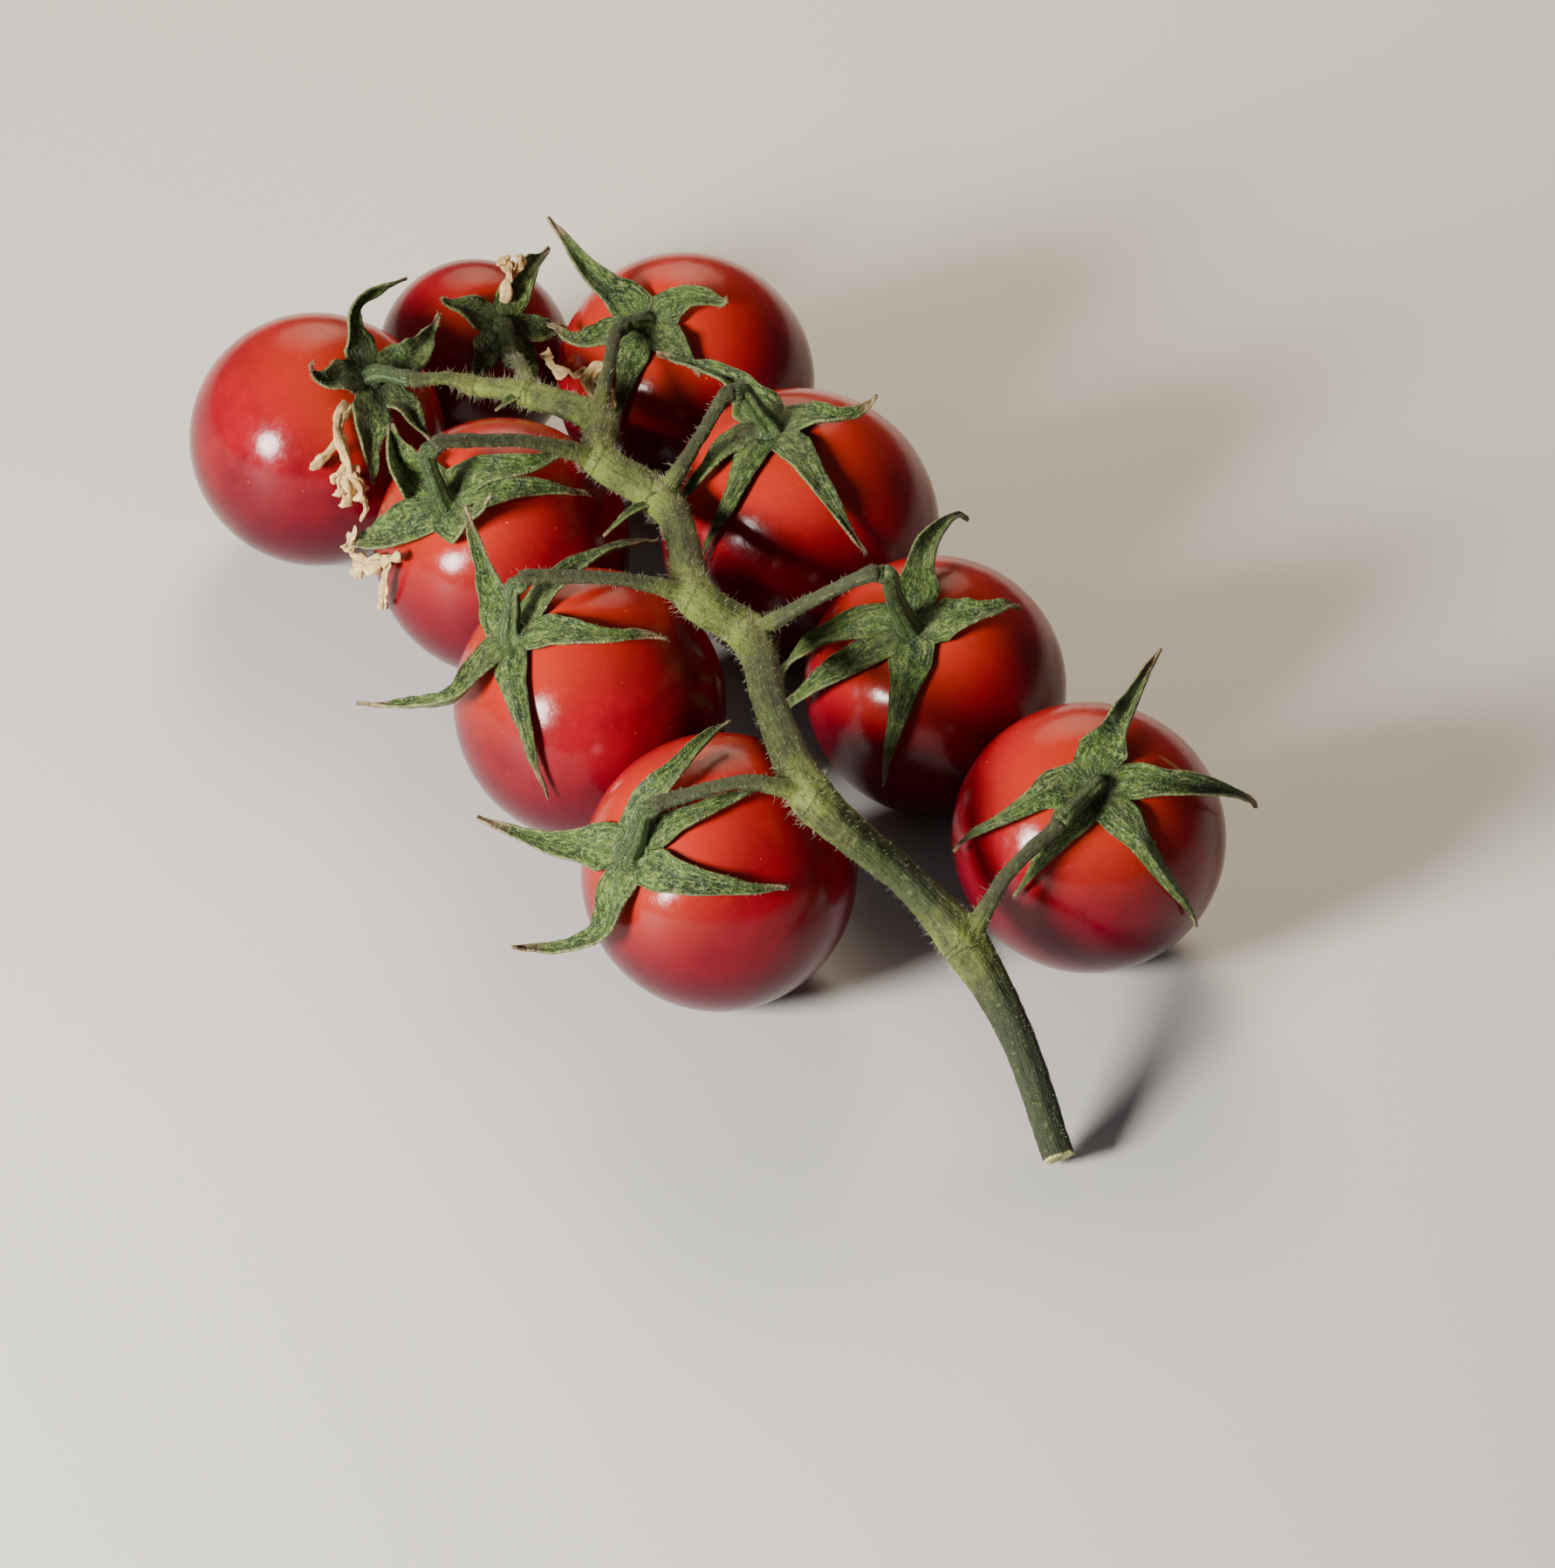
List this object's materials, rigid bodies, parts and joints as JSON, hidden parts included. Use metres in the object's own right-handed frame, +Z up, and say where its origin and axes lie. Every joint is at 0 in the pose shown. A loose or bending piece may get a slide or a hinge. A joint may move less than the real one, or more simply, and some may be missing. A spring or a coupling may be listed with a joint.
{
  "type": "cherry tomato truss",
  "caption": "Truss of ripe cherry tomatoes on the vine: round red fruits in two rows on one branched green stalk, each under a star of pointed sepals.",
  "frame": {"origin": "middle of the footprint, on the surface that the truss lies on", "axes": "+X along the stalk towards its cut end, +Z up away from the surface"},
  "size_m": [0.1588, 0.0788, 0.0384],
  "materials": {
    "tomato_skin": "smooth, glossy, ripe red skin",
    "sepal_green": "matt green leaf with fine hairs and a pale edge",
    "stalk_green": "matt grey-green stem with fine hairs",
    "withered_cream": "dry, crumpled, cream"
  },
  "bodies": {
    "root": {"stalk": "stalk_green", "calyx_1": "sepal_green", "calyx_2": "sepal_green", "calyx_3": "sepal_green", "calyx_4": "sepal_green", "calyx_5": "sepal_green", "calyx_6": "sepal_green", "calyx_7": "sepal_green", "calyx_8": "sepal_green", "calyx_9": "sepal_green", "tomato_1": "tomato_skin", "tomato_2": "tomato_skin", "tomato_3": "tomato_skin", "tomato_4": "tomato_skin", "tomato_5": "tomato_skin", "tomato_6": "tomato_skin", "tomato_7": "tomato_skin", "tomato_8": "tomato_skin", "tomato_9": "tomato_skin", "withered_flower_1": "withered_cream", "withered_flower_2": "withered_cream", "withered_flower_3": "withered_cream", "withered_flower_7": "withered_cream"}
  },
  "joints": []
}
